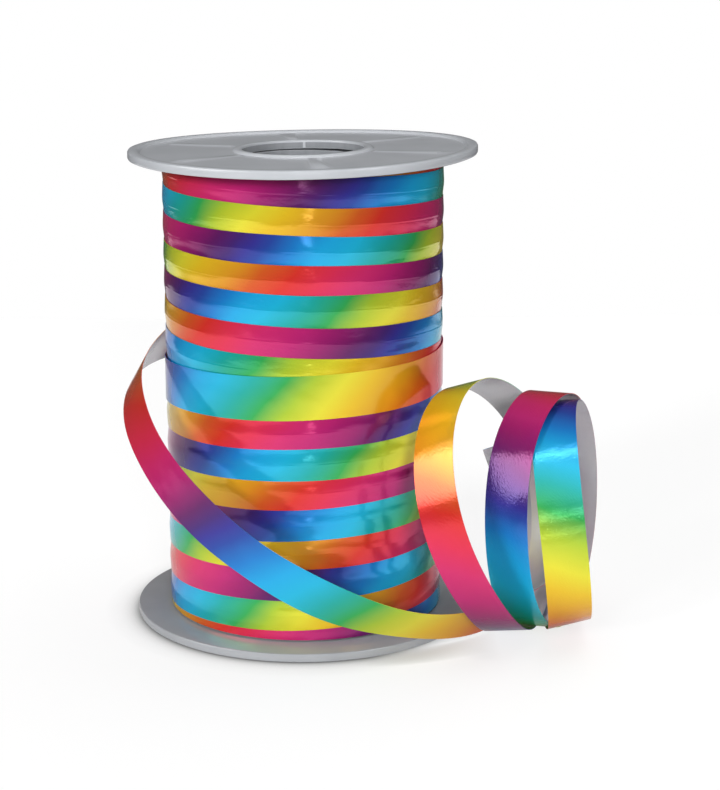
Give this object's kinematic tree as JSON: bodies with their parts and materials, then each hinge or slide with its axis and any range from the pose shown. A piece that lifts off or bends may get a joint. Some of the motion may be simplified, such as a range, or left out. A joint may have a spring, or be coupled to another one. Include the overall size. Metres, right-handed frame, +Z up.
{
  "type": "ribbon on a plastic spool",
  "caption": "Flanged plastic spool of glossy rainbow curling ribbon, wound in sloping turns, with its loose end sweeping to the floor and lying beside it in curls.",
  "frame": {"origin": "middle of the part's footprint, on the surface that the spool stands on", "axes": "+Z up along the spool's axis; +X towards the curls of loose ribbon; -Y towards the side that the ribbon's tail sweeps across"},
  "size_m": [0.1124, 0.0892, 0.11],
  "materials": {
    "spool_plastic": "satin grey moulded plastic",
    "ribbon_film": "glossy film printed with a rainbow gradient, silver-grey on the back"
  },
  "bodies": {
    "root": {"spool_flange_top": "spool_plastic", "spool_flange_bottom": "spool_plastic", "spool_core": "spool_plastic", "ribbon_winding": "ribbon_film", "ribbon_loose": "ribbon_film"}
  },
  "joints": []
}
